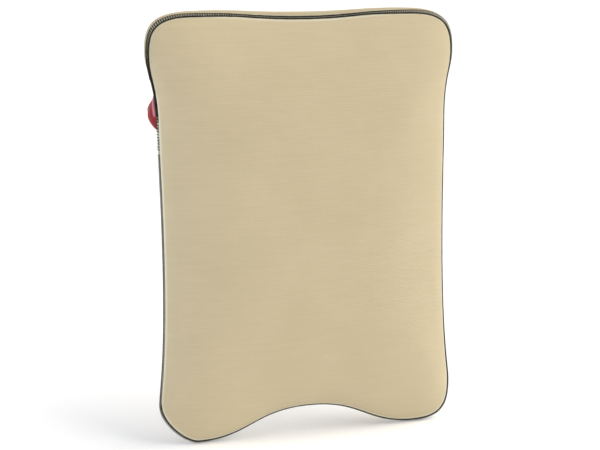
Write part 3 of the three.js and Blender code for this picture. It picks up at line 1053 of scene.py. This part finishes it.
def take_shape(obj, tree, most):
    """Moves a panel's skin and lining to the blown-up cloth's waves, by at most so many metres."""
    mesh = obj.data
    count = len(mesh.vertices)
    places = np.zeros(count * 3)
    mesh.vertices.foreach_get("co", places)
    places = places.reshape(-1, 3)
    normals = np.zeros(count * 3)
    mesh.vertex_normals.foreach_get("vector", normals)
    normals = normals.reshape(-1, 3)
    skin = count // 2
    reach = np.full(skin, np.nan)
    for n in range(skin):
        place, normal = Vector(places[n]), Vector(normals[n])
        hit = tree.ray_cast(place + normal * RAY_REACH, -normal, 2 * RAY_REACH)
        if hit[0] is not None:
            reach[n] = (hit[0] - place).dot(normal)
    rings = (skin - 1) // AROUND
    waves = np.nan_to_num(reach - np.nanmedian(reach))
    grid = waves[:-1].reshape(rings, AROUND)
    for _ in range(30):
        grid = (np.roll(grid, 1, 1) + np.roll(grid, -1, 1) + 2 * grid) / 4
        grid[1:-1] = (grid[:-2] + grid[2:] + 2 * grid[1:-1]) / 4
    edge = np.zeros(count)
    mesh.attributes["edge"].data.foreach_get("value", edge)
    away = smooth(edge[: skin - 1].reshape(rings, AROUND), 0.008, 0.035)
    shift = np.zeros(skin)
    shift[:-1] = (most * np.tanh(grid / most) * away).ravel()
    shift[-1] = shift[-1 - AROUND : -1].mean()
    moves = normals[:skin] * shift[:, None]
    places += np.vstack([moves, moves])
    mesh.vertices.foreach_set("co", places.ravel())
    mesh.update()


class CUSHION_OT_panels(bpy.types.Operator):
    """Makes the front and back panels of the cover, and blows them up as cloth"""

    bl_idname = "cushion.panels"
    bl_label = "Cover Panels"

    def execute(self, context):
        scene = context.scene
        tree = blown_up(scene.cushion_sizes)
        for name, panel, node in (
            ("front_panel", FRONT, "front_cover"),
            ("back_panel", BACK, "back_cover"),
        ):
            obj = cover_panel(name, panel, scene.cushion_sizes, scene.cushion_colours)
            if tree:
                take_shape(obj, tree, scene.cushion_sizes.cloth_cap)
            settle(obj, node)
        return {"FINISHED"}


class CUSHION_OT_seam(bpy.types.Operator):
    """Makes the flatlock seam: thread across the edge, and a needle row on each side"""

    bl_idname = "cushion.seam"
    bl_label = "Flatlock Seam"

    def execute(self, context):
        sizes = context.scene.cushion_sizes
        thread = thread_material(context)
        front, back = Lip(FRONT), Lip(BACK)
        radius = sizes.thread / MM / 2
        count = round(perimeter() / (sizes.stitch_pitch / MM))
        step = AROUND / count
        over = radius * 0.7
        rungs = []
        for n in range(count):
            place = n * step
            if in_slit(place) or in_slit(place + step):
                continue
            across, up = OUTLINE[int(place) % AROUND]
            lean = step * (0.1 if across < 0 and up < SLIT["z"] else 0.45)
            width = row_width(place, sizes)
            path = [
                front.at(place, width, over * 0.3),
                front.at(place + lean * 0.2, width * 0.62, over),
                front.at(place + lean * 0.4, width * 0.25, over),
                front.fold(place + lean * 0.5, over + 0.1),
                back.at(place + lean * 0.6, width * 0.25, over),
                back.at(place + lean * 0.8, width * 0.62, over),
                back.at(place + lean, width, over),
                back.at(place + lean * 1.1, width + 2.6, over * 0.2),
            ]
            rungs.append(path)
        obj = grown(
            "seam_cover_thread_loops",
            rungs,
            thread_tree("thread_lengths", thread),
            thread,
            Thread_Diameter=sizes.thread,
            Wobble=0.00007,
            Seed=sizes.seed,
        )
        settle(obj, "seam_cover_thread")
        row = stitch_row_tree("needle_row", thread)
        # The left side's stitches stand apart below the slit, and the other rows lie close.
        ends = [n for n in range(AROUND) if OUTLINE[n][0] < 0 and OUTLINE[n][1] < SLIT["z"] - 4]
        side = [n for n in ends if OUTLINE[n][1] > LOBE["side_z"]]
        rest = [(side[-1] + n) % AROUND for n in range(AROUND - len(side) + 2)]
        for name, lip, node, bulk, fill, places in (
            ("needle_row_front", front, "seam_needle_thread_front", 1.15, 1.5, rest),
            ("needle_row_front_side", front, "seam_needle_thread_front", 0.95, 0.5, side),
            ("needle_row_back", back, "seam_needle_thread_back", 1.5, 1.3, rest),
            ("needle_row_back_side", back, "seam_needle_thread_back", 0.95, 0.5, side),
        ):
            line = [lip.at(n % AROUND, row_width(n, sizes), radius * 0.8) for n in places]
            run = np.linalg.norm(np.diff(line, axis=0), axis=1).sum() * MM
            pitch = run / round(run / sizes.stitch_pitch)
            obj = grown(
                name,
                [line],
                row,
                thread,
                Pitch=pitch,
                Stitch_Length=pitch * fill,
                Thread_Diameter=sizes.thread * bulk,
                Seed=sizes.seed + 1,
            )
            settle(obj, node)
        return {"FINISHED"}


class CUSHION_OT_slit(bpy.types.Operator):
    """Makes the overlock thread that binds the two lips of the valve slit"""

    bl_idname = "cushion.slit"
    bl_label = "Slit Binding"

    def execute(self, context):
        sizes = context.scene.cushion_sizes
        thread = thread_material(context)
        radius = sizes.thread / MM / 2
        width = sizes.seam_width / MM
        count = round(perimeter() / (sizes.stitch_pitch / MM * 0.62))
        step = AROUND / count
        for name, panel, node in (
            ("slit_binding_front_loops", FRONT, "slit_binding_front"),
            ("slit_binding_back_loops", BACK, "slit_binding_back"),
        ):
            lip = Lip(panel)
            lining = OUTLINE - outward(OUTLINE) * RIM_INSET
            depth = panel["depth"] - sizes.neoprene / MM
            start = edge_share(lining, panel, depth, PLAY / 2)
            inside = panel_points(lining, start, panel, depth, PLAY / 2)
            loops = []
            for n in range(count):
                place = n * step
                sparse = panel["side"] < 0 and OUTLINE[int(place) % AROUND][1] < SLIT["z"] - 4
                if not in_slit(place) or (sparse and n % 2):
                    continue
                i = int(place) % AROUND
                rim = (lip.at(place, 0, radius) + inside[i]) / 2
                out = lip.at(place, 0, radius) - lip.at(place, 1, radius)
                path = [
                    lip.at(place + step * 0.4, width, radius * 0.4),
                    lip.at(place + step * 0.3, width * 0.5, radius),
                    lip.at(place + step * 0.2, 0, radius),
                    lip.at(place + step * 0.1, 0, 0) + out * radius,
                    rim + out * radius,
                    inside[i] + out * radius,
                ]
                loops.append(path)
            obj = grown(
                name,
                loops,
                thread_tree(name + "_tree", thread),
                thread,
                Thread_Diameter=sizes.thread,
                Wobble=0.00008,
                Seed=sizes.seed + 3,
            )
            settle(obj, node)
        return {"FINISHED"}


class CUSHION_OT_bladder(bpy.types.Operator):
    """Makes the two vinyl sheets of the bladder"""

    bl_idname = "cushion.bladder"
    bl_label = "Bladder"

    def execute(self, context):
        vinyl = vinyl_material(context)
        neoprene = context.scene.cushion_sizes.neoprene / MM
        for name, panel, node in (
            ("front_vinyl_sheet", FRONT, "bladder_front_sheet"),
            ("back_vinyl_sheet", BACK, "bladder_back_sheet"),
        ):
            settle(bladder_sheet(name, panel, neoprene, vinyl), node)
        return {"FINISHED"}


class CUSHION_OT_valve(bpy.types.Operator):
    """Makes the vinyl neck that bulges out of the slit, and the valve in it"""

    bl_idname = "cushion.valve"
    bl_label = "Valve"

    def execute(self, context):
        vinyl = vinyl_material(context)
        settle(neck_shell(vinyl), "valve_neck")
        for name, node, profile, body in (
            ("valve_flange_ring", "valve_flange", tube_profile(FLANGE), BODY),
            ("valve_stem_tube", "valve_stem", tube_profile(STEM), BODY),
            ("valve_plug_cap", "valve_plug", plug_profile(), "plug"),
            ("check_flap_disc", "check_flap", flap_profile(), "flap"),
        ):
            settle(turned(name, profile, vinyl), node, body=body)
        strap = strap_band(vinyl)
        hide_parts("plug_strap")
        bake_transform(strap)
        return {"FINISHED"}


class CUSHION_OT_stage(bpy.types.Operator):
    """Makes the floor, the soft studio lights and the camera"""

    bl_idname = "cushion.stage"
    bl_label = "Stage"

    def execute(self, context):
        scene = context.scene
        colours = scene.cushion_colours
        board = painted_board("matt_white_board", colours.floor)
        rise = [i / 24 * math.pi / 2 for i in range(25)]
        profile = [(COVE["flat"] + COVE["bend"] * math.sin(t), COVE["bend"] * (1 - math.cos(t)))
                   for t in rise]
        turns = [i / 96 * 2 * math.pi for i in range(96)]
        points = [(r * math.cos(t), r * math.sin(t), z - FLOOR_DROP) for r, z in profile for t in turns]
        floor = mesh_object(
            "floor",
            [*points, (0, 0, -FLOOR_DROP)],
            ring_faces_out(len(profile), len(turns)),
            board,
        )
        world = bpy.data.worlds.new("studio")
        scene.world = world
        world.use_nodes = True
        background = world.node_tree.nodes["Background"]
        background.inputs["Color"].default_value = linear("FFFFFF")
        background.inputs["Strength"].default_value = 0.48
        scene.view_settings.view_transform = "Standard"

        sun = bpy.data.lights.new("key_light", "SUN")
        sun.energy = 3.0
        sun.angle = math.radians(60)
        sun.color = linear("FFFBF4")[:3]
        key = bpy.data.objects.new("key_light", sun)
        scene.collection.objects.link(key)
        key.rotation_euler = Vector((-0.8, 0.32, -0.62)).to_track_quat("-Z", "Y").to_euler()

        def softbox(name, place, size, power, colour):
            light = bpy.data.lights.new(name, "AREA")
            light.shape = "RECTANGLE"
            light.size, light.size_y = size
            light.energy = power
            light.color = linear(colour)[:3]
            obj = bpy.data.objects.new(name, light)
            scene.collection.objects.link(obj)
            obj.location = place
            aim = Vector((0, 0, 0.22)) - Vector(place)
            obj.rotation_euler = aim.to_track_quat("-Z", "Y").to_euler()

        softbox("rim_softbox", (-1.6, 0.1, 0.7), (0.6, 1.2), 8, "CFE0FF")

        camera = bpy.data.objects.new("camera", bpy.data.cameras.new("camera"))
        scene.collection.objects.link(camera)
        scene.camera = camera
        camera.data.lens = 69.5
        camera.data.sensor_width = 36
        camera.data.shift_x = -0.0103
        camera.data.shift_y = 0.0068
        turn, rise, distance = math.radians(14), math.radians(11.3), 1.2
        target = Vector((0, SEAM_Y * MM, (220 + BASE) * MM))
        towards = Vector(
            (-math.sin(turn) * math.cos(rise), -math.cos(turn) * math.cos(rise), math.sin(rise))
        )
        camera.location = target + towards * distance
        aim = (-towards).to_track_quat("-Z", "Y")
        roll = Matrix.Rotation(math.radians(-0.76), 4, "Z")
        camera.rotation_euler = (aim.to_matrix().to_4x4() @ roll).to_euler()
        return {"FINISHED"}


class CUSHION_PT_panel(bpy.types.Panel):
    """Lists the cushion's sizes, colours and pieces"""

    bl_label = "Lumbar Cushion"
    bl_idname = "CUSHION_PT_panel"
    bl_space_type = "VIEW_3D"
    bl_region_type = "UI"
    bl_category = "Cushion"

    def draw(self, context):
        for group in (context.scene.cushion_sizes, context.scene.cushion_colours):
            box = self.layout.box()
            for name in group.__annotations__:
                box.prop(group, name)
        for operator in OPERATORS:
            self.layout.operator(operator.bl_idname)


OPERATORS = (
    CUSHION_OT_panels,
    CUSHION_OT_seam,
    CUSHION_OT_slit,
    CUSHION_OT_bladder,
    CUSHION_OT_valve,
    CUSHION_OT_stage,
)
CLASSES = (CushionSizes, CushionColours, *OPERATORS, CUSHION_PT_panel)


def register():
    for each in CLASSES:
        bpy.utils.register_class(each)
    bpy.types.Scene.cushion_sizes = PointerProperty(type=CushionSizes)
    bpy.types.Scene.cushion_colours = PointerProperty(type=CushionColours)


def unregister():
    del bpy.types.Scene.cushion_colours
    del bpy.types.Scene.cushion_sizes
    for each in reversed(CLASSES):
        bpy.utils.unregister_class(each)


def main():
    register()
    bpy.ops.cushion.panels()
    bpy.ops.cushion.seam()
    bpy.ops.cushion.slit()
    bpy.ops.cushion.bladder()
    bpy.ops.cushion.valve()
    bpy.ops.cushion.stage()


if __name__ == "__main__":
    main()
